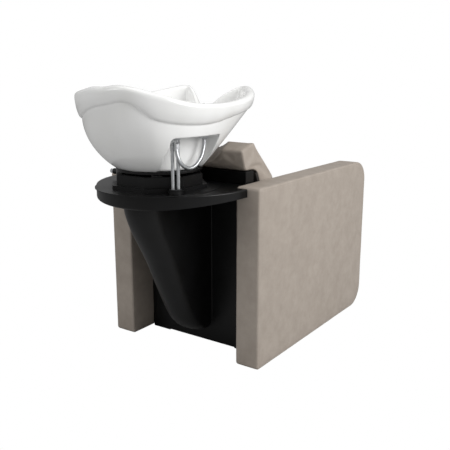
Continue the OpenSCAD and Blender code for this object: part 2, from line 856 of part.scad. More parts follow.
// The rim is lower at the rear of the far side
function far_side(turn) = turn > 142 && turn < 182 ? pow(sin((turn - 142) * 4.5), 2) : 0;
function crest(a, turn) = basin_lift + curve(a, crest_table) - 10 * far_side(turn);
function crease(a, turn) = basin_lift + curve(a, crease_table) - 33 * far_side(turn);

// Share of the way from the foot to the band at height share t
function swell(t, a) = lerp(t, sin(90 * pow(t, 0.78)), pow((1 - cos(a)) / 2, 1.3));

// Point of the lower bowl; wall is how far inside the outer face it lies
function bowl_point(turn, t, wall, low) =
    let (a = turn > 180 ? 360 - turn : turn, s = swell(t, a))
    let (band = rim_plan(a) - curve(a, inset_table) - 5)
    let (inner = min(band - wall, rim_plan(a) - rim_roll - 6), edge = wall > 0 ? inner : band)
    let (r = lerp(basin_foot_r - wall, edge, s), y = lerp(foot_y, basin_y, s))
    [r * sin(turn), y - r * cos(turn), lerp(low, crease(a, turn), t)];

// Point of the band and the rolled rim: in is measured from the outline, u is the height share
function rim_point(turn, in, u, lift) =
    let (a = turn > 180 ? 360 - turn : turn)
    let (r = rim_plan(a) - in - curve(a, inset_table) * (1 - u) * (1 - u))
    [r * sin(turn), basin_y - r * cos(turn), lerp(crease(a, turn), crest(a, turn), u) + lift];

basin_turns = [for (i = [0:71]) i * 5];
outer_shares = [0, 0.05, 0.14, 0.28, 0.44, 0.6, 0.76, 0.9, 1];
inner_shares = [0.97, 0.82, 0.64, 0.46, 0.3, 0.16, 0.06];
rim_steps = [[0.5, 0.02, -2], [-1.5, 0.15, 0], [-2.5, 0.4, 0], [-1.5, 0.7, 0], [0, 1, -10], [5, 1, -3.5],
    [16, 1, 0], [27, 1, -2.5], [rim_roll - 1, 1, -9], [rim_roll + 3, 1, -24]];

module basin_skin() {
    outer = [for (t = outer_shares) [for (g = basin_turns) bowl_point(g, t, 0, basin_z)]];
    rim = [for (s = rim_steps) [for (g = basin_turns) rim_point(g, s[0], s[1], s[2])]];
    inner = [for (t = inner_shares) [for (g = basin_turns) bowl_point(g, t, basin_wall, floor_z + 4)]];
    sump = [for (s = [[100, 3], [55, 0.6], [30, 0]])
        [for (g = basin_turns) [s[0] * sin(g), waste_y - s[0] * cos(g), floor_z + s[1]]]];
    loft(concat(outer, rim, inner, sump));
}
// The side of the basin that carries the tap: a deck, with an alcove below it
module deck_block(in, z0, z1, long) {
    translate([-alcove_x + in, arm_back + 210, z0])
        rotate([0, 0, -alcove_turn])
            translate([-160, -210 + long, 0])
                cube([160, 330 - 2 * long, z1 - z0]);
}
module deck_body() {
    intersection() {
        loft([for (t = [0.02, 0.28, 0.6, 0.86]) [for (g = basin_turns) bowl_point(g, t, 5, basin_z + 4)]]);
        deck_block(12, basin_z + 4, deck_z, 8);
    }
}
alcove_outline = rounded([
    [[-172, -120], 4],
    [[12, -120], 4],
    [[35, -62], 24],
    [[35.5, 0], 11],
    [[-172, 0], 7]], 6);
module alcove() {
    translate([-alcove_x, arm_back + 210, alcove_z])
        rotate([0, 0, -alcove_turn])
            translate([-200, 0, 0])
                rotate([90, 0, 90])
                    linear_extrude(200)
                        polygon(alcove_outline);
}
module basin() {
    color("#eeeeec")
        difference() {
            union() {
                basin_skin();
                deck_body();
            }
            alcove();
            bar_z(mixer_x, mixer_y, alcove_z - 5, deck_z + 5, shank_r + 1);
            bar_z(guide_x, guide_y, alcove_z - 5, deck_z + 5, 15);
            bar_z(0, waste_y, basin_z - 5, floor_z + 5, waste_r);
            basin_bolt_holes(4.4, basin_z - 1, basin_z + 14);
        }
}
module basin_bolt_holes(r, z0, z1) {
    both_sides()
        for (y = [foot_y - 62, foot_y + 75])
            bar_z(72, y, z0, z1, r);
}
module cradle() {
    color("#1b1c1e")
        difference() {
            union() {
                bar_z(0, foot_y, cradle_z, cradle_z + cradle_t, cradle_r);
                ring_z(0, foot_y, cradle_z, basin_z - soft_gap, cradle_r + 7, basin_foot_r + 1);
                ring_z(0, foot_y, cradle_z, cradle_z + cradle_t, cradle_r + 7, cradle_r - 1);
                both_sides() {
                    box([42, pivot_y - 7, pivot_z], [54, pivot_y + 40, cradle_z + 1]);
                    bar_x(42, 54, pivot_y, pivot_z, 11);
                }
            }
            bar_x(-60, 60, pivot_y, pivot_z, pin_r + fit_gap);
            bar_z(0, waste_y, cradle_z - 1, basin_z, waste_r + 1.5);
            basin_bolt_holes(4.5, cradle_z - 1, basin_z);
        }
}
module basin_gasket() {
    color("#101011")
        difference() {
            bar_z(0, foot_y, cradle_z + cradle_t, basin_z, cradle_r - 4);
            bar_z(0, foot_y, 0, basin_z + 1, cradle_r - 30);
        }
}
module basin_bolts() {
    color("#9a9a98") {
        basin_bolt_holes(4, cradle_z - 2, basin_z + 12);
        basin_bolt_holes(7, cradle_z - 6, cradle_z - fit_gap);
    }
}
// Plate with a curved slot that the lock stud clamps
module lock_quadrant() {
    reach = norm([lock_y - pivot_y, lock_z - pivot_z]);
    rest = atan((lock_z - pivot_z) / (lock_y - pivot_y));
    slot = lock_r + gap;
    spare = 2;
    arc = [for (k = [0:20]) rest + spare - (tilt_max + 2 * spare) * k / 20];
    low = reach * sin(arc[20]) - slot - 4;
    top = cradle_z - pivot_z;
    color("#8a8c8f")
        translate([lock_x - 2, pivot_y, pivot_z])
            rotate([90, 0, 90])
                linear_extrude(4)
                    difference() {
                        polygon([[reach - 18, low], [reach + 12, low], [reach + 15, 0], [reach + 9, top],
                            [reach - 32, top], [reach - 22, 0]]);
                        polygon(concat(
                            [for (a = arc) (reach - slot) * [cos(a), sin(a)]],
                            [for (k = [20:-1:0]) (reach + slot) * [cos(arc[k]), sin(arc[k])]]));
                    }
}
module waste_flange() {
    color("#c9cbcc")
        translate([0, waste_y, 0])
            rotate_extrude()
                polygon([[19, floor_z + 3], [19, cradle_z - 14], [22, cradle_z - 14], [22, floor_z + 0.3],
                    [26, floor_z + 0.6], [32, floor_z + 1.6], [32.5, floor_z + 2.6], [24, floor_z + 4]]);
}
module waste_nut() {
    color("#c9cbcc")
        difference() {
            translate([0, waste_y, cradle_z - 10])
                cylinder(h = 10 - fit_gap, r = 33, $fn = 6);
            bar_z(0, waste_y, 0, cradle_z + 1, 22 + fit_gap);
        }
}
module tail_pipe() {
    color("#d8d8d4")
        ring_z(0, waste_y, tail_low, cradle_z - 8, tail_r - fit_gap, tail_r - 2.5);
}
module hair_trap() {
    color("#c9cbcc")
        translate([0, waste_y, 0])
            difference() {
                rotate_extrude()
                    polygon([[0, floor_z + 4.2], [17, floor_z + 4.2], [17, floor_z - 8], [18.5, floor_z - 8],
                        [18.5, floor_z + 4.3], [25, floor_z + 4.3], [25, floor_z + 5.5], [16, floor_z + 7.5],
                        [4, floor_z + 8], [4, floor_z + 14], [0, floor_z + 14]]);
                for (a = [0:45:315])
                    rotate([0, 0, a])
                        bar_z(11, 0, floor_z, floor_z + 20, 2.5);
            }
}

// Tap

module mixer_body() {
    color("#c4c6c8") {
        bar_z(mixer_x, mixer_y, shank_low, deck_z + 1, shank_r);
        translate([mixer_x, mixer_y, deck_z + fit_gap])
            rotate_extrude()
                polygon([[0, 0], [25, 0], [25, 3], [20, 6], [18, 12], [17.5, 30], [18.5, cap_z - deck_z - gap],
                    [0, cap_z - deck_z - gap]]);
        bar_z(hot_x, hot_y, tails_z, shank_low + 3, supply_r + 1);
        bar_z(cold_x, cold_y, tails_z, shank_low + 3, supply_r + 1);
        bar_z(shower_x, shower_y, tails_z, shank_low + 3, supply_r + 1);
    }
}
module mixer_nut() {
    color("#b8903f")
        difference() {
            translate([mixer_x, mixer_y, alcove_z - 8])
                cylinder(h = 8 - soft_gap, r = shank_r + 6, $fn = 6);
            bar_z(mixer_x, mixer_y, 0, deck_z, shank_r + fit_gap);
            alcove_back();
        }
}
// Everything behind the alcove's inner face, where no nut can reach
module alcove_back() {
    translate([-alcove_x - gap, arm_back + 210, 0])
        rotate([0, 0, -alcove_turn])
            translate([0, -300, 0])
                cube([200, 600, 1000]);
}
module mixer_cap() {
    color("#c4c6c8")
        difference() {
            union() {
                translate([mixer_x, mixer_y, cap_z])
                    rotate_extrude()
                        polygon([[0, 0], [18.5, 0], [19, 2], [18.5, 10], [15, 13], [0, 14]]);
                for (s = [-1, 1])
                    hull() {
                        bar_y(mixer_x - 6, mixer_y + 10.5 * s - 1.5, mixer_y + 10.5 * s + 1.5, lever_z, 4.5);
                        bar_y(mixer_x - 6, mixer_y + 10.5 * s - 1.5, mixer_y + 10.5 * s + 1.5, cap_z + 10, 5);
                    }
                bar_y(mixer_x - 6, mixer_y - 12, mixer_y + 12, lever_z, 2);
            }
        }
}
module mixer_lever() {
    color("#c4c6c8")
        difference() {
            union() {
                bar_y(mixer_x - 6, mixer_y - 8.5, mixer_y + 8.5, lever_z, 4.5);
                hull() {
                    bar_y(mixer_x - 4, mixer_y - 8.5, mixer_y + 8.5, lever_z, 3.5);
                    bar_y(mixer_x + 62, mixer_y - 7, mixer_y + 7, lever_z + 12, 2.5);
                }
            }
            bar_y(mixer_x - 6, mixer_y - 20, mixer_y + 20, lever_z, 2 + fit_gap);
        }
}
module hose_guide() {
    color("#c4c6c8")
        difference() {
            union() {
                bar_z(guide_x, guide_y, shank_low, deck_z + 1, 14);
                translate([guide_x, guide_y, deck_z + fit_gap])
                    rotate_extrude()
                        polygon([[0, 0], [21, 0], [21, 2.5], [16, 7], [14, 16], [0, 16]]);
                translate([guide_x, guide_y, alcove_z - 9])
                    cylinder(h = 9 - soft_gap, r = 18.5, $fn = 6);
            }
            bar_z(guide_x, guide_y, 0, deck_z + 20, shower_r + 2.5);
            alcove_back();
        }
}
shower_path = route([[-167, 467, 806], [-167, 467, 798], [-167, 467, 788], [-170, 467, 774], [-174, 465, 760],
    [-175.5, 456, 746], [-175.5, 440, 734], [-175, 420, 726], [-175, 401, 725], [-175, 381, 730],
    [-174, 364, 740], [-174, 350, 753], [-173, 341, 766], [-172, 332, 786], [-172, 330, 800],
    [-172, 330, 811], [-172, 330, 822]], 2);
module shower_hose() {
    color("#d0d2d4")
        tube(shower_path, shower_r, [1, 0, 0], 12);
}
shower_seat = deck_z + 16;
module hand_shower() {
    color("#c4c6c8") {
        bar_z(guide_x, guide_y, deck_z - 18, shower_seat + 1, shower_r + 2);
        translate([guide_x, guide_y, shower_seat + fit_gap])
            rotate_extrude()
                polygon([[0, 0], [12.5, 0], [13, 3], [11, 22], [11.5, 38], [9, 44], [0, 46]]);
        translate([guide_x, guide_y, shower_seat + 42])
            rotate([0, 58, 0])
                translate([0, 0, -4])
                    difference() {
                        rotate_extrude()
                            polygon([[0, -6], [8, -6], [21, 2], [24, 8], [24, 18], [0, 18]]);
                        bar_z(0, 0, 14, 19, 21);
                    }
    }
}
module spray_plate() {
    color("#6d7073")
        translate([guide_x, guide_y, shower_seat + 42])
            rotate([0, 58, 0])
                translate([0, 0, -4])
                    difference() {
                        bar_z(0, 0, 14 + fit_gap, 17.5, 21 - fit_gap);
                        for (k = [1:2], a = [0:60 / k:359])
                            rotate([0, 0, a])
                                bar_z(7 * k, 0, 16, 19, 1.2);
                    }
}
// Stud, clamp nut and fluted knob of the tilt lock
module lock_knob() {
    color("#a9abad") {
        bar_x(lock_x - 12, boss_x + 3, lock_y, lock_z, lock_r);
        bar_x(lock_x - 9, lock_x - 2 - gap, lock_y, lock_z, 8);
        difference() {
            union() {
                bar_x(boss_x + gap, boss_x + 3, lock_y, lock_z, 6);
                bar_x(boss_x + 2.5, boss_x + 13, lock_y, lock_z, 7.5);
            }
            for (a = [0:45:315])
                bar_x(boss_x + 2, boss_x + 11.5, lock_y + 8.8 * cos(a), lock_z + 8.8 * sin(a), 2.4);
        }
    }
}

arm_left();
arm_right();
arm_cores();
arm_glides();
arm_bolts();
seat_cushion();
seat_board();
backrest_cushion();
backrest_board();
front_panel();
lower_rails();
upper_rails();
posts();
crossbars();
floor_plates();
shelf_plate();
gussets();
rear_cover();
shelf();
riser();
tilt_housing();
hinge_bracket();
hinge_pin();
bracket_bolts();
lock_bracket();
hose_grommet();
waste_funnel();
drain_hose();
drain_stub();
valve_bracket();
valve_bodies();
valve_handle_hot();
valve_handle_cold();
supply_pipes();
supply_hose_hot();
supply_hose_cold();
basin();
cradle();
basin_gasket();
basin_bolts();
lock_quadrant();
waste_flange();
waste_nut();
tail_pipe();
hair_trap();
mixer_body();
mixer_nut();
mixer_cap();
mixer_lever();
hose_guide();
shower_hose();
hand_shower();
spray_plate();
lock_knob();
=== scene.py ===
"""Looks of the salon wash unit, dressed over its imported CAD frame.

Blender's lengths are in metres. Sizes taken from the CAD source are in millimetres.
"""

import math

import bpy
import numpy as np
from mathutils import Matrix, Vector, noise
from mathutils.bvhtree import BVHTree


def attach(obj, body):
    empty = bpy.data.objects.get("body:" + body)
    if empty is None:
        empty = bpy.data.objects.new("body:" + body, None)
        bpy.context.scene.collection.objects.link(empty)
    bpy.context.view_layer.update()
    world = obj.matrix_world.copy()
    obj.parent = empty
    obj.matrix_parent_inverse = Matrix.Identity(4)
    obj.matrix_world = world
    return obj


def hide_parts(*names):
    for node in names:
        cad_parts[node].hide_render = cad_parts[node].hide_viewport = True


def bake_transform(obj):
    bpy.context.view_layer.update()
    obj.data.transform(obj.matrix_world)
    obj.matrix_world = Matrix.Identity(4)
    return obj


MM = 0.001
# Points closer than this, in metres, count as one
WELD = 0.00001
DRUM_SIDES = 64
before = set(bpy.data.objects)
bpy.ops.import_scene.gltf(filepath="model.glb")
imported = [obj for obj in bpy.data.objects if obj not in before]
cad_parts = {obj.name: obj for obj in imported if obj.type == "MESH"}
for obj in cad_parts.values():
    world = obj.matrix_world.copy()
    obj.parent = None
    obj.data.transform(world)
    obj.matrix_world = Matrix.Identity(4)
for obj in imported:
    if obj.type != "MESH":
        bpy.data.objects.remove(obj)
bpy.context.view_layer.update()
scene = bpy.context.scene


# Camera at the photograph's viewpoint, behind the unit and to its left

VIEWPOINT, SIGHT_LINE = (-1.42925, 2.00855, 1.02273), (0.5575, -0.797, -0.2319)
SENSOR, LENS = 36, 51.33

camera = bpy.data.objects.new("camera", bpy.data.cameras.new("camera"))
scene.collection.objects.link(camera)
camera.location = VIEWPOINT
camera.rotation_euler = Vector(SIGHT_LINE).to_track_quat("-Z", "Y").to_euler()
camera.data.sensor_width = SENSOR
camera.data.lens = LENS
scene.camera = camera


# Shape helpers

def lerp(a, b, t):
    return a + (b - a) * t


def level_curve(x, table):
    """Smooth curve through (place, value) pairs, level at both ends, as the CAD source draws it."""
    last = len(table) - 1
    i = max([k for k in range(last) if x >= table[k][0]] or [0])

    def rise(k):
        if k <= 0 or k >= last:
            return 0.0
        return (table[k + 1][1] - table[k - 1][1]) / (table[k + 1][0] - table[k - 1][0])

    h = table[i + 1][0] - table[i][0]
    u = (x - table[i][0]) / h
    return (table[i][1] * (1 + 2 * u) * (1 - u) ** 2 + table[i + 1][1] * u * u * (3 - 2 * u)
            + h * (rise(i) * u * (1 - u) ** 2 - rise(i + 1) * u * u * (1 - u)))


def rounded(corners, steps):
    """Outline with a round at each corner, from (point, radius) pairs that run anticlockwise."""
    out, count = [], len(corners)
    for i, (p, r) in enumerate(corners):
        p = np.array(p, float)
        a = np.array(corners[i - 1][0], float) - p
        b = np.array(corners[(i + 1) % count][0], float) - p
        u, v = a / np.linalg.norm(a), b / np.linalg.norm(b)
        half = math.acos(max(-1.0, min(1.0, float(u @ v)))) / 2
        centre = p + (u + v) / np.linalg.norm(u + v) * r / math.sin(half)
        start = p + u * r / math.tan(half) - centre
        end = p + v * r / math.tan(half) - centre
        turn = math.copysign(math.pi - 2 * half, start[0] * end[1] - start[1] * end[0])
        for k in range(steps + 1):
            c, s = math.cos(turn * k / steps), math.sin(turn * k / steps)
            out.append(centre + (start[0] * c - start[1] * s, start[0] * s + start[1] * c))
    return np.array(out)


def softened(points, times):
    """An open line of rings with its corners cut off, which rounds the section."""
    for _ in range(times):
        a, b = points[:-1], points[1:]
        cut = np.stack([lerp(a, b, 0.25), lerp(a, b, 0.75)], 1).reshape(-1, *points.shape[1:])
        points = np.concatenate([points[:1], cut[1:-1], points[-1:]])
    return points


def smooth_shaded(obj):
    obj.data.polygons.foreach_set("use_smooth", [True] * len(obj.data.polygons))


def piece(name, points, faces):
    mesh = bpy.data.meshes.new(name)
    mesh.from_pydata([tuple(p) for p in points], [], faces)
    mesh.validate()
    made = bpy.data.objects.new(name, mesh)
    smooth_shaded(made)
    scene.collection.objects.link(made)
    return made


def skin(name, rings):
    """Closed skin through rings of points, given in millimetres, with a fan over each end."""
    rings = np.array(rings, float) * MM
    m, n = rings.shape[:2]
    points = rings.reshape(-1, 3)
    faces = [(j * n + i, j * n + (i + 1) % n, (j + 1) * n + (i + 1) % n, (j + 1) * n + i)
             for j in range(m - 1) for i in range(n)]
    points = np.concatenate([points, rings[:1].mean(1), rings[-1:].mean(1)])
    low, high = m * n, m * n + 1
    faces += [(low, (i + 1) % n, i) for i in range(n)]
    faces += [(high, (m - 1) * n + i, (m - 1) * n + (i + 1) % n) for i in range(n)]
    made = piece(name, points, faces)
    if volume_of(made) < 0:
        made.data.flip_normals()
    return made


def volume_of(obj):
    obj.data.calc_loop_triangles()
    corners = np.array([[obj.data.vertices[i].co for i in t.vertices] for t in obj.data.loop_triangles])
    return float(np.einsum("ij,ij->i", corners[:, 0], np.cross(corners[:, 1], corners[:, 2])).sum())


def drum(name, x, y, z0, z1, r):
    turns = np.arange(DRUM_SIDES) * 2 * math.pi / DRUM_SIDES
    return skin(name, [[(x + r * math.cos(t), y + r * math.sin(t), z) for t in turns] for z in (z0, z1)])


def per_corner(obj, kind):
    out = np.zeros(len(obj.data.vertices) * 3, np.float32)
    obj.data.vertices.foreach_get(kind, out)
    return out.reshape(-1, 3).astype(float)


def corners_of(obj):
    return per_corner(obj, "co")


def facing(obj):
    return per_corner(obj, "normal")


def set_corners(obj, points):
    obj.data.vertices.foreach_set("co", points.astype(np.float32).ravel())
    obj.data.update()


def settle(obj):
    """Applies every modifier."""
    view = bpy.context.evaluated_depsgraph_get()
    mesh = bpy.data.meshes.new_from_object(obj.evaluated_get(view))
    obj.modifiers.clear()
    obj.data = mesh
    return obj


def combine(obj, other, operation):
    step = obj.modifiers.new(operation.lower(), "BOOLEAN")
    step.operation, step.object, step.solver = operation, other, "EXACT"
    settle(obj)
    bpy.data.objects.remove(other)


def welded(obj):
    step = obj.modifiers.new("weld", "WELD")
    step.merge_threshold = WELD


def remeshed(obj, voxel):
    step = obj.modifiers.new("remesh", "REMESH")
    step.mode, step.voxel_size, step.use_smooth_shade = "VOXEL", voxel, True
    settle(obj)


def relaxed(obj, times):
    step = obj.modifiers.new("relax", "SMOOTH")
    step.factor, step.iterations = 0.5, times
    settle(obj)


def tube(name, path, radii, sides):
    """Tube along points in millimetres, with a radius for each point."""
    ahead = np.roll(path, -1, 0) - np.roll(path, 1, 0)
    ahead[0], ahead[-1] = path[1] - path[0], path[-1] - path[-2]
    ahead /= np.linalg.norm(ahead, axis=1)[:, None]
    side = np.cross(ahead[0], (0, 0, 1) if abs(ahead[0][2]) < 0.9 else (1, 0, 0))
    rings = []
    for p, r, t in zip(path, radii, ahead):
        side = side - t * (side @ t)
        side /= np.linalg.norm(side)
        up = np.cross(t, side)
        turns = np.arange(sides) * 2 * math.pi / sides
        rings.append([p + r * (math.cos(a) * side + math.sin(a) * up) for a in turns])
    return skin(name, rings)


def smooth_route(points, step):
    """Points every step millimetres along the same smooth route as the CAD source's."""
    p, fine = np.array(points, float), []
    last = len(p) - 1
    for i in range(last):
        a, b, c, d = p[max(i - 1, 0)], p[i], p[i + 1], p[min(i + 2, last)]
        for u in np.arange(24) / 24:
            fine.append(b + u * ((c - a) / 2 + u * ((a - 2.5 * b + 2 * c - d / 2)
                                                     + u * (1.5 * (b - c) + (d - a) / 2))))
    fine = np.array(fine + [p[last]])
    along = np.concatenate([[0], np.cumsum(np.linalg.norm(np.diff(fine, axis=0), axis=1))])
    places = np.linspace(0, along[-1], int(round(along[-1] / step)) + 1)
    return np.stack([np.interp(places, along, fine[:, k]) for k in range(3)], 1)


# Sizes of the CAD source, in millimetres

ARM_BACK, ARM_FRONT, ARM_TOP, ARM_LOW = 250, -620, 650, 4
ARM_FRONT_R, ARM_BACK_R, ARM_T, HALF_W, INNER_W = 85, 12, 98, 340, 242
PANEL_Y, PANEL_Z, PANEL_TOP, PANEL_GAP, SHELL_T = 137, 6, 633.5, 0.3, 4
KEEL_LOW, KEEL_TOP, KEEL_ROUND, KEEL_HALF_W, KEEL_FLARE = 50, 605, 100, 58, 0.16
FOOT_Y, FOOT_R, BASIN_Z, FLOOR_Z, WALL, RIM_ROLL = 355, 143, 711, 733, 13, 36
BASIN_Y, RIM_HALF_W, RIM_HALF_L, NOTCH_R, EAR = 298.22, 260, 320, 215, 25
DECK_Z, ALCOVE_Z, ALCOVE_X, ALCOVE_Y, ALCOVE_TURN, WASTE_Y = 840, 826, -139, 460, 6.9, 370
CORE_R, CORE_HALF_W, CORE_HALF_L, CORE_Y, CORE_WALL = 128, 146, 215, 318, 12
TAP_HOLE_R, GUIDE_HOLE_R, WASTE_HOLE_R = 16, 15, 23
MIXER, GUIDE, HOT, COLD = (-156, 460), (-172, 330), (-150, 466), (-162, 453.5)
HOSE_LOW, TAILS_Z, BRAID_R, SLEEVE_LONG, SHOWER_R = 636, 806, 5.6, 22, 6.3


# Materials

def linear(hex_colour):
    """sRGB hex as linear colour."""
    out = []
    for k in (0, 2, 4):
        c = int(hex_colour[k:k + 2], 16) / 255
        out.append(c / 12.92 if c <= 0.04045 else ((c + 0.055) / 1.055) ** 2.4)
    return (*out, 1.0)


def add(tree, kind, settings=None, **links):
    """Adds a node; settings are its sockets or properties, and links give (node, output) for a socket."""
    made = tree.nodes.new(kind)
    for key, value in (settings or {}).items():
        if hasattr(made, key):
            setattr(made, key, value)
        else:
            made.inputs[key].default_value = value
    for key, (source, output) in links.items():
        tree.links.new(source.outputs[output], made.inputs[key.replace("_", " ")])
    return made


def finish_of(name, look):
    """New material with a Principled shader; returns its tree, shader and object coordinates."""
    made = bpy.data.materials.new(name)
    made.use_nodes = True
    tree = made.node_tree
    tree.nodes.clear()
    shader = add(tree, "ShaderNodeBsdfPrincipled", look)
    add(tree, "ShaderNodeOutputMaterial", Surface=(shader, "BSDF"))
    return made, tree, shader, add(tree, "ShaderNodeTexCoord")


def two_tone(tree, shader, source, output, low, high, dark, light):
    """Colour that goes from dark to light as a pattern goes from low to high."""
    ramp = add(tree, "ShaderNodeValToRGB", Fac=(source, output))
    ramp.color_ramp.elements[0].position, ramp.color_ramp.elements[1].position = low, high
    ramp.color_ramp.elements[0].color, ramp.color_ramp.elements[1].color = linear(dark), linear(light)
    tree.links.new(ramp.outputs["Color"], shader.inputs["Base Color"])


def relief(tree, shader, source, output, depth, strength):
    """Bumps depth metres high that follow a pattern."""
    bump = add(tree, "ShaderNodeBump", {"Distance": depth, "Strength": strength}, Height=(source, output))
    tree.links.new(bump.outputs["Normal"], shader.inputs["Normal"])


def rough_between(tree, shader, source, output, low, high):
    """Roughness that goes from low to high as a pattern goes from 0 to 1."""
    span = add(tree, "ShaderNodeMapRange", {"To Min": low, "To Max": high}, Value=(source, output))
    tree.links.new(span.outputs["Result"], shader.inputs["Roughness"])


def coated_leather():
    # Polyurethane coated leather, embossed and hand antiqued: semi matt with soft cloudy patches
    made, tree, shader, place = finish_of("coated_leather", {"Roughness": 0.55, "IOR": 1.47,
                                                             "Specular IOR Level": 0.45})
    cloud = add(tree, "ShaderNodeTexNoise", {"Scale": 1 / 0.045, "Detail": 6.0, "Roughness": 0.62},
                Vector=(place, "Object"))
    two_tone(tree, shader, cloud, "Fac", 0.3, 0.7, "9A9086", "A69C92")
    rough_between(tree, shader, cloud, "Fac", 0.62, 0.5)
    # Pebbles are about 1 mm across, drawn at 4 mm so that they show
    pebble = add(tree, "ShaderNodeTexVoronoi", {"Scale": 1 / 0.004, "feature": "SMOOTH_F1"},
                 Vector=(place, "Object"))
    relief(tree, shader, pebble, "Distance", 0.0004, 0.25)
    return made


def glazed_china():
    # Vitreous china under a clear glaze: white, mirror smooth, with the glaze's slight orange peel
    made, tree, shader, place = finish_of("glazed_china", {"Roughness": 0.16, "IOR": 1.52,
                                                           "Coat Weight": 0.25, "Coat Roughness": 0.05,
                                                           "Coat IOR": 1.5})
    pool = add(tree, "ShaderNodeTexNoise", {"Scale": 1 / 0.09, "Detail": 1.0}, Vector=(place, "Object"))
    two_tone(tree, shader, pool, "Fac", 0.3, 0.7, "EDEDEB", "F3F3F2")
    peel = add(tree, "ShaderNodeTexNoise", {"Scale": 1 / 0.025, "Detail": 0.0}, Vector=(place, "Object"))
    relief(tree, shader, peel, "Fac", 0.0002, 0.04)
    return made


def moulded(name, dark, light, rough, grain):
    # Injection moulded or formed ABS with a fine spark eroded grain: satin, a little uneven
    made, tree, shader, place = finish_of(name, {"IOR": 1.53, "Specular IOR Level": 0.26})
    drift = add(tree, "ShaderNodeTexNoise", {"Scale": 1 / 0.07, "Detail": 2.0}, Vector=(place, "Object"))
    two_tone(tree, shader, drift, "Fac", 0.35, 0.68, dark, light)
    rough_between(tree, shader, drift, "Fac", rough - 0.05, rough + 0.05)
    # The grain is 0.3 mm, drawn at 2 mm so that it shows
    fine = add(tree, "ShaderNodeTexNoise", {"Scale": 1 / 0.002, "Detail": 1.0}, Vector=(place, "Object"))
    relief(tree, shader, fine, "Fac", 0.0002, grain)
    return made


def plated(name, colour, dull, rough, scratch):
    # Plated metal: bright, with faint polishing marks
    made, tree, shader, place = finish_of(name, {"Metallic": 1.0})
    marks = add(tree, "ShaderNodeTexNoise", {"Scale": 1 / 0.012, "Detail": 4.0}, Vector=(place, "Object"))
    two_tone(tree, shader, marks, "Fac", 0.35, 0.7, dull, colour)
    rough_between(tree, shader, marks, "Fac", rough, rough + scratch)
    relief(tree, shader, marks, "Fac", 0.0001, 0.05)
    return made


def powder_coat():
    # Black polyester powder coat on steel tube: satin with orange peel 2 mm across
    made, tree, shader, place = finish_of("powder_coated_steel", {"IOR": 1.5})
    peel = add(tree, "ShaderNodeTexNoise", {"Scale": 1 / 0.002, "Detail": 0.0}, Vector=(place, "Object"))
    wide = add(tree, "ShaderNodeTexNoise", {"Scale": 1 / 0.05, "Detail": 2.0}, Vector=(place, "Object"))
    two_tone(tree, shader, wide, "Fac", 0.35, 0.65, "1B1C1E", "222427")
    rough_between(tree, shader, wide, "Fac", 0.38, 0.48)
    relief(tree, shader, peel, "Fac", 0.0002, 0.2)
    return made


def plywood(name, dark, light):
    # Birch plywood, sanded and bare: bands of grain 5 mm apart; the copy coloured near black is painted
    # shade
    made, tree, shader, place = finish_of(name, {"Roughness": 0.62, "IOR": 1.5})
    grain = add(tree, "ShaderNodeTexWave", {"Scale": 1 / 0.03, "Distortion": 6.0, "Detail": 3.0,
                                            "Detail Scale": 1.5}, Vector=(place, "Object"))
    two_tone(tree, shader, grain, "Fac", 0.1, 0.9, dark, light)
    relief(tree, shader, grain, "Fac", 0.0002, 0.15)
    return made


def rubber(name, dark, light):
    # Moulded EPDM rubber: matt, with a dry bloom
    made, tree, shader, place = finish_of(name, {"IOR": 1.5, "Specular IOR Level": 0.3})
    bloom = add(tree, "ShaderNodeTexNoise", {"Scale": 1 / 0.02, "Detail": 3.0}, Vector=(place, "Object"))
    two_tone(tree, shader, bloom, "Fac", 0.35, 0.7, dark, light)
    rough_between(tree, shader, bloom, "Fac", 0.7, 0.82)
    relief(tree, shader, bloom, "Fac", 0.0003, 0.15)
    return made


LEATHER = coated_leather()
CHINA = glazed_china()
BLACK_ABS = moulded("black_abs", "060606", "0A0A0B", 0.36, 0.10)
HOUSING_ABS = moulded("housing_abs", "070707", "0A0A0B", 0.34, 0.10)
COVER_ABS = moulded("formed_cover_abs", "090909", "0D0D0E", 0.42, 0.08)
LAMINATE = moulded("black_laminate", "1D1D1E", "242425", 0.5, 0.15)
WASTE_PP = moulded("waste_polypropylene", "CFCFCA", "DCDCD8", 0.42, 0.1)
SPRAY_ABS = moulded("spray_face_abs", "5F6265", "6C6F72", 0.45, 0.1)
RED_VINYL = moulded("red_vinyl_grip", "A8332D", "B83E36", 0.4, 0.08)
BLUE_VINYL = moulded("blue_vinyl_grip", "2F519E", "3A5EAC", 0.4, 0.08)
CHROME = plated("chromed_brass", "E4E6E8", "D9DBDD", 0.05, 0.08)
HOSE_STEEL = plated("stainless_hose", "D2D4D6", "BDBFC1", 0.3, 0.08)
ZINC = plated("zinc_plated_steel", "B9BABA", "A3A4A2", 0.3, 0.2)
SATIN_STEEL = plated("satin_nickel_steel", "A9AAAC", "979899", 0.34, 0.15)
BRASS = plated("turned_brass", "C9A052", "B58B40", 0.22, 0.15)
COPPER = plated("copper_tube", "C77F55", "B06C45", 0.25, 0.18)
POWDER = powder_coat()
PLYWOOD = plywood("birch_plywood", "B98F5F", "CDA878")
# The backrest board's plywood coloured near black is painted shade for the dark gap between the rear cover
# and the arm
PLYWOOD_PAINTED_SHADE = plywood("plywood_dark_painted_shade", "171412", "221D1A")
BLACK_RUBBER = rubber("black_rubber", "121213", "1A1A1B")
GREY_RUBBER = rubber("grey_rubber", "74777A", "85888B")


def dress(obj, material):
    obj.data.materials.clear()
    obj.data.materials.append(material)
    return obj


# Shower hose: a free hose of interlocked steel, from the mixer's tail down and up to its guide

shower_points = smooth_route([
    (-167, 467, 806), (-167, 467, 798), (-167, 467, 788), (-170, 467, 774), (-174, 465, 760),
    (-175.5, 456, 746), (-175.5, 440, 734), (-175, 420, 726), (-175, 401, 725), (-175, 381, 730),
    (-174, 364, 740), (-174, 350, 753), (-173, 341, 766), (-172, 332, 786), (-172, 330, 800),
    (-172, 330, 811), (-172, 330, 822)], 0.8)
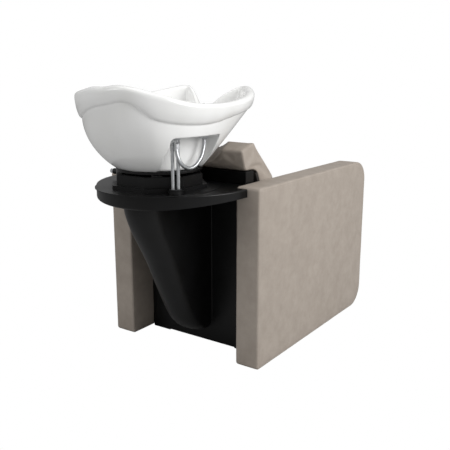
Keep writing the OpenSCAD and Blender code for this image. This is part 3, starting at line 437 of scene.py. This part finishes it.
# Turns of the strip are 3.2 mm apart, four rings to a turn, and stand 0.2 mm proud
shower_radii = SHOWER_R + 0.2 * np.cos(np.arange(len(shower_points)) * math.pi / 2)
shower_hose = dress(tube("shower_hose_wound", shower_points, shower_radii, 16), HOSE_STEEL)
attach(shower_hose, "basin_unit")
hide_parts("shower_hose")


# Supply hoses: braided steel over rubber, with a crimped sleeve at the top

def braided_hose(name, x, y, node):
    """A supply hose: two sets of eight strands cross in the braid, and rings crimp the sleeve on it."""
    sides, strands, pitch, crimp_pitch, step = 32, 8, 9.0, 5, 1.1
    sleeve_t, crimp_deep, weave_deep = 0.5, 0.25, 0.12
    heights = np.arange(HOSE_LOW, TAILS_Z + 0.01, step)
    heights[-1] = TAILS_Z
    rings = []
    for z in heights:
        ring = []
        climb, sleeved = 2 * math.pi * z / pitch, z > TAILS_Z - SLEEVE_LONG
        for k in range(sides):
            a = 2 * math.pi * k / sides
            weave = math.cos(strands * a + climb) * math.cos(strands * a - climb)
            crimp = sleeve_t + crimp_deep * math.cos(2 * math.pi * z / crimp_pitch)
            r = BRAID_R + (crimp if sleeved else weave_deep * weave)
            ring.append((x + r * math.cos(a), y + r * math.sin(a), z))
        rings.append(ring)
    made = dress(skin(name, rings), HOSE_STEEL)
    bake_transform(made)
    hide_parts(node)


braided_hose("supply_hose_hot_braided", *HOT, "supply_hose_hot")
braided_hose("supply_hose_cold_braided", *COLD, "supply_hose_cold")


# Arms: padded slabs with a soft crown, a band round the edge and a turned seam on each side

def arm_outline(inset):
    """The arm's outline drawn in by inset, always with the same number of points on each side."""
    front_r, back_r = max(ARM_FRONT_R - inset, 7), max(ARM_BACK_R - inset, 2)
    front, back, low, top = ARM_FRONT + inset, ARM_BACK - inset, ARM_LOW + inset, ARM_TOP - inset
    arcs = rounded([((front, low), front_r), ((back, low), back_r), ((back, top), back_r),
                    ((front, top), front_r)], 9).reshape(4, 10, 2)
    # Points along the floor, up the back, along the top and down the front
    side_points = (76, 62, 76, 48)
    out = []
    for i, count in enumerate(side_points):
        out += list(arcs[i])
        out += [lerp(arcs[i][-1], arcs[(i + 1) % 4][0], k / count) for k in range(1, count)]
    return np.array(out)


def slack(points, normals, depth, size, seed):
    """Uneven tension of leather over foam: slow swells along the surface's own direction."""
    out = points.copy()
    for i, (p, n) in enumerate(zip(points, normals)):
        q = Vector(p / (size * MM)) + Vector((seed, 0, 0))
        h = noise.noise(q) + 0.4 * noise.noise(q * 2.3)
        out[i] = p + n * depth * MM * h
    return out


def padded_arm(side, name, node):
    """An arm's cover: rings run from the middle of one face over the band to the middle of the other."""
    edge, crown, swell, half = 8.0, 2.0, 0.3, ARM_T / 2
    centre = np.array([(ARM_FRONT + ARM_BACK) / 2, (ARM_LOW + ARM_TOP) / 2])
    sections = [(half, lerp(centre, arm_outline(78), share)) for share in np.linspace(0.03, 1, 26)]
    for inset, drop in ((50, 0.15), (32, 0.7), (20, 1.25), (14, 1.6)):
        sections.append((half - drop, arm_outline(inset)))
    # The seam lies where the face panel meets the band
    for inset, drop in ((10.2, 1.8), (9.4, 2.3), (8.4, 2.0)):
        sections.append((half - drop, arm_outline(inset)))
    for a in np.radians([10, 22, 36, 50, 64, 78, 90]):
        sections.append((half - crown - edge * (1 - math.cos(a)), arm_outline(edge * (1 - math.sin(a)))))
    band = half - crown - edge
    for t in np.linspace(0.85, 0, 5):
        sections.append((band * t, arm_outline(-swell * (1 - t * t))))
    mirrored = [(-x, ring) for x, ring in reversed(sections[:-1])]
    middle = side * (HALF_W - ARM_T / 2)
    rings = [[(middle + x, p[0], p[1]) for p in ring] for x, ring in sections + mirrored]
    made = skin(name, rings)
    set_corners(made, slack(corners_of(made), facing(made), 0.4, 95, side * 3.1))
    dress(made, LEATHER)
    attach(made, "frame")
    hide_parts(node)


padded_arm(-1, "arm_left_cover", "arm_left")
padded_arm(1, "arm_right_cover", "arm_right")


# Cushions: foam under leather, blown up a little by a cloth simulation

CLOTH_STEPS, PAD_VOXEL = 20, 0.006
# Heights and places of the boards under the cushions, in metres
SEAT_BOARD_TOP, BACK_FOOT, BACK_BEND = 0.362, 0.455, 0.70


def on_seat_board(p):
    return p[:, 2] < SEAT_BOARD_TOP


def on_back_board(p):
    board_y = lerp(0.002, 0.105, (p[:, 2] - 0.447) / 0.243)
    return (p[:, 2] < BACK_FOOT) | ((p[:, 2] < BACK_BEND) & (p[:, 1] > board_y))


def padding(obj, pressure, cap, held):
    """Lets the cover bulge under pressure by up to cap millimetres; held picks the points on the board."""
    start = corners_of(obj)
    group = obj.vertex_groups.new(name="held")
    group.add([int(i) for i in np.nonzero(held(start))[0]], 1.0, "REPLACE")
    cloth = obj.modifiers.new("padding", "CLOTH")
    cloth.settings.quality = 4
    cloth.settings.mass = 0.4
    cloth.settings.use_pressure = True
    cloth.settings.uniform_pressure_force = pressure
    cloth.settings.effector_weights.gravity = 0
    cloth.settings.vertex_group_mass = "held"
    cloth.settings.bending_stiffness = 3
    cloth.collision_settings.use_collision = False
    cloth.collision_settings.use_self_collision = False
    cloth.point_cache.frame_start, cloth.point_cache.frame_end = 1, CLOTH_STEPS
    for step in range(1, CLOTH_STEPS + 1):
        scene.frame_set(step)
    view = bpy.context.evaluated_depsgraph_get()
    blown = corners_of(obj.evaluated_get(view))
    obj.modifiers.clear()
    scene.frame_set(1)
    shift = blown - start
    long = np.linalg.norm(shift, axis=1)[:, None]
    set_corners(obj, start + shift * np.minimum(1, cap * MM / np.maximum(long, 1e-9)))


def shrunk_copy(node, name, inset):
    """A copy of a CAD cushion, drawn in by inset millimetres and remeshed."""
    made = bpy.data.objects.new(name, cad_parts[node].data.copy())
    scene.collection.objects.link(made)
    welded(made)
    remeshed(settle(made), PAD_VOXEL)
    set_corners(made, corners_of(made) - facing(made) * inset * MM)
    return made


def cushion(node, name, inset, pressure, cap, held, seed, relax):
    made = shrunk_copy(node, name, inset)
    padding(made, pressure, cap, held)
    relaxed(made, relax)
    set_corners(made, slack(corners_of(made), facing(made), 0.9, 85, seed))
    grow = made.modifiers.new("fine", "SUBSURF")
    grow.levels = grow.render_levels = 1
    settle(made)
    smooth_shaded(made)
    dress(made, LEATHER)
    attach(made, "frame")
    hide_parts(node)


cushion("seat_cushion", "seat_cushion_cover", inset=2.5, pressure=4, cap=6, held=on_seat_board,
        seed=1.7, relax=3)
cushion("backrest_cushion", "backrest_cover", inset=2.0, pressure=3, cap=4, held=on_back_board,
        seed=5.3, relax=2)


# Basin: china cast in one piece, with a rolled rim, a neck notch, and a tap deck over an alcove

CREST = [(0, 903), (9, 914), (17, 948), (25, 974), (45, 959), (62, 944), (85, 932), (107, 929),
         (127, 936), (148, 964), (160, 980), (170, 986), (180, 981)]
CREASE = [(0, 868), (25, 912), (45, 903), (62, 893), (83, 880), (98, 869), (112, 864), (126, 865),
          (135, 869), (142, 875), (149, 886), (155, 909), (161, 930), (168, 937), (180, 926)]
INSET = [(0, 10), (25, 8), (45, 14), (100, 24), (130, 23), (150, 15), (165, 6), (180, 2)]
# The far side's rim and crease dip between these turns, in degrees, by so many millimetres
DIP_FROM, DIP_TO, CREST_DIP, CREASE_DIP = 142, 182, 10, 33
BAND_STEP, ROLL_STEP, FILL_WALL, FLOOR_ROUND, CHINA_VOXEL = 5, 6, 5, 4, 0.0022


def rim_full(a):
    """Radius of the rim's plan, a squarish oval, at an angle from the neck."""
    p = 2.3 if a < 90 else 2.45
    s, c = abs(math.sin(math.radians(a))), abs(math.cos(math.radians(a)))
    return ((s / RIM_HALF_W) ** p + (c / RIM_HALF_L) ** p) ** (-1 / p)


def rim_plan(a):
    """The oval with the neck's notch in it."""
    return lerp(NOTCH_R, rim_full(EAR), (a / EAR) ** 1.8) if a < EAR else rim_full(a)


def far_side(turn):
    """How far the dip has come at a turn: 0 at its ends and 1 in its middle."""
    if not DIP_FROM < turn < DIP_TO:
        return 0.0
    return math.sin(math.radians((turn - DIP_FROM) * (180 / (DIP_TO - DIP_FROM)))) ** 2


def from_neck(turn):
    return 360 - turn if turn > 180 else turn


def crease_at(turn):
    return level_curve(from_neck(turn), CREASE) - CREASE_DIP * far_side(turn)


def bowl(turn, t, wall, low):
    """Point of the bowl, wall millimetres inside its skin, at t of the way from low up to the crease."""
    a = from_neck(turn)
    s, c, plan = math.sin(math.radians(turn)), math.cos(math.radians(turn)), rim_plan(a)
    share = ((1 - math.cos(math.radians(a))) / 2) ** 1.3
    swell = lerp(t, math.sin(math.pi / 2 * t ** 0.78), share)
    band = plan - level_curve(a, INSET) - BAND_STEP
    edge = min(band - wall, plan - RIM_ROLL - ROLL_STEP) if wall else band
    r, y = lerp(FOOT_R - wall, edge, swell), lerp(FOOT_Y, BASIN_Y, swell)
    return r * s, y - r * c, lerp(low, crease_at(turn), t)


def basin_section(turn):
    """Points of the section at one turn round the basin, from its foot over the rim to the drain."""
    a = from_neck(turn)
    s, c, plan = math.sin(math.radians(turn)), math.cos(math.radians(turn)), rim_plan(a)
    inset, crease = level_curve(a, INSET), crease_at(turn)
    crest = level_curve(a, CREST) - CREST_DIP * far_side(turn)

    def rim(inner, u, lift):
        r = plan - inner - inset * (1 - u) ** 2
        return r * s, BASIN_Y - r * c, lerp(crease, crest, u) + lift

    outer = [bowl(turn, t, 0, BASIN_Z) for t in (0, 0.02, 0.05, 0.09, 0.14, 0.21, 0.28, 0.36, 0.44, 0.52,
                                                 0.6, 0.68, 0.76, 0.83, 0.9, 0.95, 0.985)]
    roll = [rim(*step) for step in ((7.5, 0.0, 0.3), (1.0, 0.03, -0.6), (-1.8, 0.14, 0), (-2.5, 0.4, 0),
                                    (-1.5, 0.7, 0), (0, 1, -10), (5, 1, -3.0), (16, 1, 0.4), (27, 1, -2.5),
                                    (RIM_ROLL - 1, 1, -9), (RIM_ROLL + 3, 1, -24))]
    inner = [bowl(turn, t, WALL, FLOOR_Z + FLOOR_ROUND)
             for t in (0.97, 0.9, 0.82, 0.73, 0.64, 0.55, 0.46, 0.38, 0.3, 0.23, 0.16, 0.1, 0.06)]
    sump = [(r * s, WASTE_Y - r * c, FLOOR_Z + h)
            for r, h in ((100, 3), (78, 1.6), (55, 0.6), (30, 0), (10, 0))]
    return outer + roll + inner + sump


def core(name, inset):
    """The inner bowl's wall as the alcove shows it: round at the foot, longer under the deck."""
    rings = []
    for z in np.linspace(700, 845, 16):
        t = (z - BASIN_Z) / (ALCOVE_Z - BASIN_Z)
        wide, long = lerp(CORE_R, CORE_HALF_W, t) - inset, lerp(CORE_R, CORE_HALF_L, t) - inset
        y = lerp(FOOT_Y, CORE_Y, t)
        rings.append([(wide * math.cos(a), y + long * math.sin(a), z)
                      for a in np.radians(np.arange(0, 360, 3))])
    return skin(name, rings)


def turned(x, y):
    """A place given in the alcove's own directions, which are turned a little against the unit."""
    c, s = math.cos(math.radians(-ALCOVE_TURN)), math.sin(math.radians(-ALCOVE_TURN))
    return ALCOVE_X + x * c - y * s, ALCOVE_Y + x * s + y * c


def deck_block():
    """Block that holds the fill under the tap deck."""
    corners = [(-160, -202), (75, -202), (75, 112), (-160, 112)]
    return skin("deck", [[(*turned(x, y), z) for x, y in corners] for z in (BASIN_Z + FLOOR_ROUND, DECK_Z)])


def alcove_prism():
    outline = rounded([((-172, -120), 4), ((12, -120), 4), ((35, -62), 24), ((35.5, 0), 11),
                       ((-172, 0), 7)], 8)
    return skin("alcove", [[(*turned(x, y), ALCOVE_Z + z) for y, z in outline] for x in (-200, 90)])


def deck_fill(turns):
    """China under the tap deck, up to the inner bowl's wall."""
    fill = skin("fill", [[bowl(turn, t, FILL_WALL, BASIN_Z + FLOOR_ROUND) for turn in turns]
                         for t in np.linspace(0.02, 0.86, 12)])
    combine(fill, deck_block(), "INTERSECT")
    combine(fill, core("core_inner", CORE_WALL), "DIFFERENCE")
    return fill


def china_basin():
    turns = np.arange(0, 360, 1.5)
    rings = softened(np.transpose([basin_section(t) for t in turns], (1, 0, 2)), 2)
    clean, made = skin("clean", rings), skin("basin_china", rings)
    combine(made, deck_fill(turns), "UNION")
    cut = alcove_prism()
    combine(cut, core("core_outer", 0), "DIFFERENCE")
    combine(made, cut, "DIFFERENCE")
    for name, x, y, z0, z1, r in (("tap_hole", *MIXER, 800, 860, TAP_HOLE_R),
                                  ("guide_hole", *GUIDE, 800, 860, GUIDE_HOLE_R),
                                  ("waste_hole", 0, WASTE_Y, 700, 745, WASTE_HOLE_R)):
        combine(made, drum(name, x, y, z0, z1, r), "DIFFERENCE")
    remeshed(made, CHINA_VOXEL)
    relaxed(made, 2)
    soften_edges(made)
    borrow_facing(made, clean)
    bpy.data.objects.remove(clean)
    return made


def soften_edges(obj):
    """Rounds the cast edges round the alcove and the deck."""
    p = corners_of(obj)
    near = (p[:, 0] < -0.04) & (p[:, 1] > 0.20) & (p[:, 1] < 0.60) & (p[:, 2] < 0.86)
    group = obj.vertex_groups.new(name="cast_edges")
    group.add([int(i) for i in np.nonzero(near)[0]], 1.0, "REPLACE")
    step = obj.modifiers.new("soft", "SMOOTH")
    step.factor, step.iterations, step.vertex_group = 0.6, 7, "cast_edges"
    settle(obj)


def of_length_one(directions):
    return directions / np.maximum(np.linalg.norm(directions, axis=1), 1e-9)[:, None]


def borrow_facing(obj, clean):
    """Takes shading directions from the clean skin where the surface still lies on it."""
    lies_on, fades_over, agrees_from, agrees_over = 0.0009, 0.0005, 0.94, 0.04
    clean.data.calc_loop_triangles()
    corners, normals = corners_of(clean), facing(clean)
    tris = np.array([t.vertices for t in clean.data.loop_triangles])
    finder = BVHTree.FromPolygons([tuple(c) for c in corners], [tuple(int(i) for i in t) for t in tris])
    points, own = corners_of(obj), facing(obj)
    found = [finder.find_nearest(p) for p in points.tolist()]
    place = np.array([f[0] for f in found])
    gap = np.array([f[3] for f in found])
    tri = tris[[f[2] for f in found]]
    a, b, c = corners[tri[:, 0]], corners[tri[:, 1]], corners[tri[:, 2]]
    v0, v1, v2 = b - a, c - a, place - a
    d00, d01, d11 = (v0 * v0).sum(1), (v0 * v1).sum(1), (v1 * v1).sum(1)
    d20, d21 = (v2 * v0).sum(1), (v2 * v1).sum(1)
    bottom = np.maximum(d00 * d11 - d01 * d01, 1e-16)
    v, w = (d11 * d20 - d01 * d21) / bottom, (d00 * d21 - d01 * d20) / bottom
    v, w = np.clip(v, 0, 1)[:, None], np.clip(w, 0, 1)[:, None]
    n = (1 - v - w) * normals[tri[:, 0]] + v * normals[tri[:, 1]] + w * normals[tri[:, 2]]
    n = of_length_one(n)
    agrees = np.clip(((n * own).sum(1) - agrees_from) / agrees_over, 0, 1)
    keep = (np.clip((lies_on - gap) / fades_over, 0, 1) * agrees)[:, None]
    out = lerp(own, n, keep)
    # The glaze flows over small steps, so each direction is evened out with its neighbours'
    ends = np.empty(len(obj.data.edges) * 2, np.int32)
    obj.data.edges.foreach_get("vertices", ends)
    one, other = ends[::2], ends[1::2]
    for _ in range(3):
        around = [np.bincount(one, out[other, k], len(out)) + np.bincount(other, out[one, k], len(out))
                  for k in range(3)]
        out = of_length_one(out + 0.5 * np.stack(around, 1))
    obj.data.normals_split_custom_set_from_vertices(out.tolist())


basin = dress(china_basin(), CHINA)
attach(basin, "basin_unit")
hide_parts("basin")


# Rear cover: one formed sheet, a flat panel that flows into the keel

KEEL_DEPTHS = [(50, 4), (58, 40), (72, 74), (94, 110), (130, 146), (200, 186), (360, 263), (605, 372)]
# Height at which the keel starts to stand out, the panel's points on each side of it, and its fillet
KEEL_START, PANEL_POINTS, KEEL_FILLET = 50.3, 9, 3
PANEL_EDGE = INNER_W - PANEL_GAP


def cover_section(z):
    """Half of the sheet's section at height z: across the panel and out along the keel."""
    if z < KEEL_START:
        return [(x, 0.0) for x, _ in cover_section(KEEL_START)]
    full = math.sqrt(1 - ((KEEL_ROUND - z) / 50.5) ** 2) if z < KEEL_ROUND else 1.0
    w, deep = KEEL_HALF_W * full, level_curve(z, KEEL_DEPTHS) * min(1.0, (z - KEEL_LOW) / 3)
    flare = 1 + KEEL_FLARE * max(z - KEEL_ROUND, 0) / 500
    nose = min(w * flare, deep * 0.8)
    f = min(KEEL_FILLET, deep / 4, w)
    out = [(lerp(PANEL_EDGE, 80, k / (PANEL_POINTS - 1)), 0.0) for k in range(PANEL_POINTS)]
    for a in np.radians(np.arange(0, 91, 15)):
        out.append((w + f * (1 - math.sin(a)), f * (1 - math.cos(a))))
    out += [(lerp(w, nose, k / 6), lerp(f, deep - nose, k / 6)) for k in range(1, 6)]
    for a in np.radians(np.arange(0, 91, 7.5)):
        out.append((nose * math.cos(a), deep - nose + nose * math.sin(a)))
    return out


def rear_cover():
    heights = np.concatenate([np.linspace(PANEL_Z, 46, 6), [49.6], np.linspace(KEEL_START, 60, 10),
                              np.linspace(62, 110, 24), np.linspace(116, KEEL_TOP, 60), [619, PANEL_TOP]])
    rows = []
    for z in heights:
        half = cover_section(min(z, KEEL_TOP))
        full = [(-x, y) for x, y in half] + [(x, y) for x, y in reversed(half[:-1])]
        rows.append([(x, PANEL_Y + y, z) for x, y in full])
    rows = np.array(rows)
    m, n = rows.shape[:2]
    # Above the keel only the panel's two sides go on
    faces = []
    for j in range(m - 1):
        for i in range(n - 1):
            above = rows[j + 1][0][2] > KEEL_TOP + 1
            if not above or i < PANEL_POINTS or i >= n - 1 - PANEL_POINTS:
                faces.append((j * n + i, j * n + i + 1, (j + 1) * n + i + 1, (j + 1) * n + i))
    made = piece("rear_cover_sheet", rows.reshape(-1, 3) * MM, faces)
    relaxed(made, 3)
    # Smoothing draws the side edges in, so they go back to the arms
    p, edge = corners_of(made), PANEL_EDGE * MM
    at_edge = np.abs(np.abs(p[:, 0]) - edge) < 0.002
    p[:, 0] = np.where(at_edge, np.sign(p[:, 0]) * edge, p[:, 0])
    set_corners(made, p)
    if facing(made)[n // 2][1] < 0:
        made.data.flip_normals()
    thick = made.modifiers.new("sheet", "SOLIDIFY")
    thick.thickness, thick.offset = SHELL_T * MM, -1
    thick.thickness_clamp, thick.use_thickness_angle_clamp = 1.0, True
    return settle(made)


cover = dress(rear_cover(), COVER_ABS)
smooth_shaded(cover)
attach(cover, "frame")
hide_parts("rear_cover")


# Finishes of the CAD pieces that show as they are, with the width in millimetres of their broken edges

SHARP = math.radians(34)
FINISHES = {
    "shelf": (BLACK_ABS, 2.0), "riser": (BLACK_ABS, 2.0), "tilt_housing": (HOUSING_ABS, 1.6),
    "cradle": (HOUSING_ABS, 1.6), "hose_grommet": (BLACK_RUBBER, 0.8), "basin_gasket": (BLACK_RUBBER, 0.4),
    "arm_glides": (BLACK_RUBBER, 1.0), "front_panel": (LAMINATE, 1.0), "seat_board": (PLYWOOD, 1.0),
    "backrest_board": (PLYWOOD_PAINTED_SHADE, 1.0), "arm_cores": (PLYWOOD, 1.0), "lower_rails": (POWDER, 0.8),
    "upper_rails": (POWDER, 0.8), "posts": (POWDER, 0.8), "crossbars": (POWDER, 0.8),
    "floor_plates": (POWDER, 0.8), "shelf_plate": (POWDER, 0.8), "gussets": (POWDER, 0.6),
    "valve_bracket": (POWDER, 0.6), "hinge_bracket": (SATIN_STEEL, 0.5), "lock_bracket": (SATIN_STEEL, 0.5),
    "lock_quadrant": (SATIN_STEEL, 0.4), "hinge_pin": (ZINC, 0.5), "bracket_bolts": (ZINC, 0.5),
    "basin_bolts": (ZINC, 0.5), "arm_bolts": (ZINC, 0.5), "waste_funnel": (WASTE_PP, 0.5),
    "drain_stub": (WASTE_PP, 0.5), "tail_pipe": (WASTE_PP, 0.4), "drain_hose": (GREY_RUBBER, 0.0),
    "valve_bodies": (BRASS, 0.5), "mixer_nut": (CHROME, 0.5), "supply_pipes": (COPPER, 0.0),
    "waste_flange": (CHROME, 0.4), "waste_nut": (CHROME, 0.5), "hair_trap": (CHROME, 0.3),
    "mixer_body": (CHROME, 0.5), "mixer_cap": (CHROME, 0.5), "mixer_lever": (CHROME, 0.6),
    "hose_guide": (CHROME, 0.5), "hand_shower": (CHROME, 0.5), "spray_plate": (SPRAY_ABS, 0.3),
    "lock_knob": (CHROME, 0.4), "valve_handle_hot": (RED_VINYL, 0.8),
    "valve_handle_cold": (BLUE_VINYL, 0.8),
}
for node, (material, edge) in FINISHES.items():
    obj = dress(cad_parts[node], material)
    smooth_shaded(obj)
    welded(obj)
    if edge:
        broken = obj.modifiers.new("broken_edges", "BEVEL")
        broken.width, broken.segments = edge * MM, 2
        broken.limit_method, broken.angle_limit = "ANGLE", SHARP
        broken.use_clamp_overlap = True
    even = obj.modifiers.new("even_shading", "WEIGHTED_NORMAL")
    even.keep_sharp = False


# Floor, backdrop and light

WHITE = (1, 1, 1, 1)


def white_to_camera(holder, usual, usual_look, white, output):
    """Gives a material or world its usual look to light, and plain white to the camera."""
    holder.use_nodes = True
    tree = holder.node_tree
    tree.nodes.clear()
    rays = add(tree, "ShaderNodeLightPath")
    lit, plain = add(tree, usual, usual_look), add(tree, white, {"Color": WHITE, "Strength": 1.0})
    mixed = add(tree, "ShaderNodeMixShader")
    tree.links.new(rays.outputs["Is Camera Ray"], mixed.inputs[0])
    tree.links.new(lit.outputs[0], mixed.inputs[1])
    tree.links.new(plain.outputs[0], mixed.inputs[2])
    add(tree, output, Surface=(mixed, "Shader"))


FLOOR_REACH = 9
floor_corners = [(x * FLOOR_REACH, y * FLOOR_REACH, 0) for x, y in ((-1, -1), (1, -1), (1, 1), (-1, 1))]
floor_mesh = bpy.data.meshes.new("floor")
floor_mesh.from_pydata(floor_corners, [], [(0, 1, 2, 3)])
floor = bpy.data.objects.new("floor", floor_mesh)
scene.collection.objects.link(floor)
paper = bpy.data.materials.new("white_paper_floor")
white_to_camera(paper, "ShaderNodeBsdfDiffuse", {"Color": linear("BEBEBE")}, "ShaderNodeEmission",
                "ShaderNodeOutputMaterial")
floor_mesh.materials.append(paper)

scene.world = bpy.data.worlds.new("studio")
white_to_camera(scene.world, "ShaderNodeBackground", {"Color": WHITE, "Strength": 0.42},
                "ShaderNodeBackground", "ShaderNodeOutputWorld")


def soft_box(name, place, aim, size, watts):
    lamp = bpy.data.lights.new(name, "AREA")
    lamp.shape, lamp.size, lamp.size_y, lamp.energy = "RECTANGLE", size[0], size[1], watts
    made = bpy.data.objects.new(name, lamp)
    scene.collection.objects.link(made)
    made.location = place
    made.rotation_euler = (Vector(aim) - Vector(place)).to_track_quat("-Z", "Y").to_euler()


soft_box("key", (-3.4, -0.2, 2.3), (0, 0.05, 0.5), (2.4, 2.0), 112)
soft_box("fill", (1.6, 3.2, 2.4), (0, 0.2, 0.6), (1.6, 1.6), 25)
soft_box("overhead", (0.1, 0.5, 2.7), (0, 0.25, 0.8), (1.4, 1.4), 11)

scene.view_settings.view_transform = "Standard"
